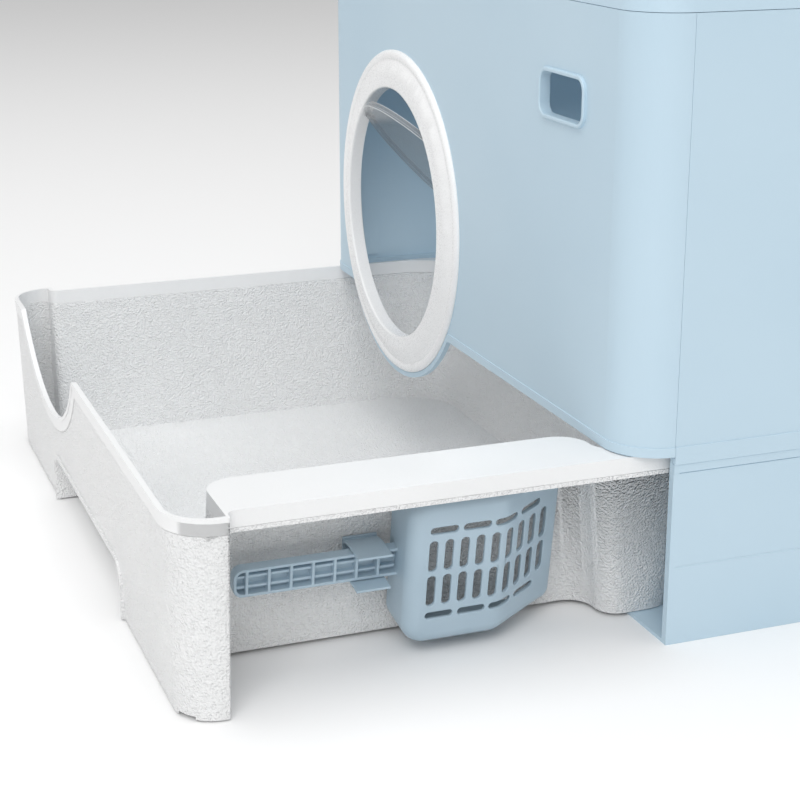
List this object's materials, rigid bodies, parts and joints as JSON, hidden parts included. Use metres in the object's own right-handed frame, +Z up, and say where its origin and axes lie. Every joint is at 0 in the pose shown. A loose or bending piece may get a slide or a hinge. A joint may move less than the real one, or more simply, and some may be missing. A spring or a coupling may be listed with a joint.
{
  "type": "drawer litter box",
  "caption": "Covered litter box with a round front door and swinging flap, a pull-out litter drawer with a corner ledge, and a slotted scoop clipped in the ledge's side recess.",
  "frame": {"origin": "on the floor under the middle of the housing", "axes": "+X to the right seen from the front, +Y to the back (the door and the drawer face -Y), +Z up"},
  "size_m": [0.4712, 0.5919, 0.367],
  "materials": {
    "panel_blue": "satin moulded plastic, light blue",
    "white_plastic": "satin moulded plastic, white",
    "smoked_plastic": "clear smoked sheet, polished",
    "pin_steel": "drawn wire",
    "slate_plastic": "satin moulded plastic, blue-grey"
  },
  "bodies": {
    "housing": {"base_tub": "panel_blue", "front_panel": "panel_blue", "rear_panel": "panel_blue", "left_side_panel": "panel_blue", "right_side_panel": "panel_blue", "door_ring": "white_plastic", "door_ring_nut": "white_plastic"},
    "lid": {"lid": "panel_blue"},
    "flap": {"door_flap": "smoked_plastic", "flap_pin_left": "pin_steel", "flap_pin_right": "pin_steel"},
    "drawer": {"drawer": "white_plastic", "scoop_clip": "slate_plastic"},
    "scoop": {"scoop": "slate_plastic"}
  },
  "joints": [
    {"name": "drawer_slide", "type": "slide", "parent": "housing", "child": "drawer", "axis": [0, -1, 0], "range_m": [-0.2335, 0.04]},
    {"name": "flap_hinge", "type": "hinge", "parent": "housing", "child": "flap", "pos_m": [-0.0936, -0.1785, 0.2268], "axis": [1, 0, 0], "range_deg": [-120, 35]},
    {"name": "scoop_lift", "type": "slide", "parent": "drawer", "child": "scoop", "axis": [0.987, 0, -0.1609], "range_m": [0, 0.012]},
    {"name": "lid_lift", "type": "slide", "parent": "housing", "child": "lid", "axis": [0, 0, 1], "range_m": [0, 0.05]}
  ]
}
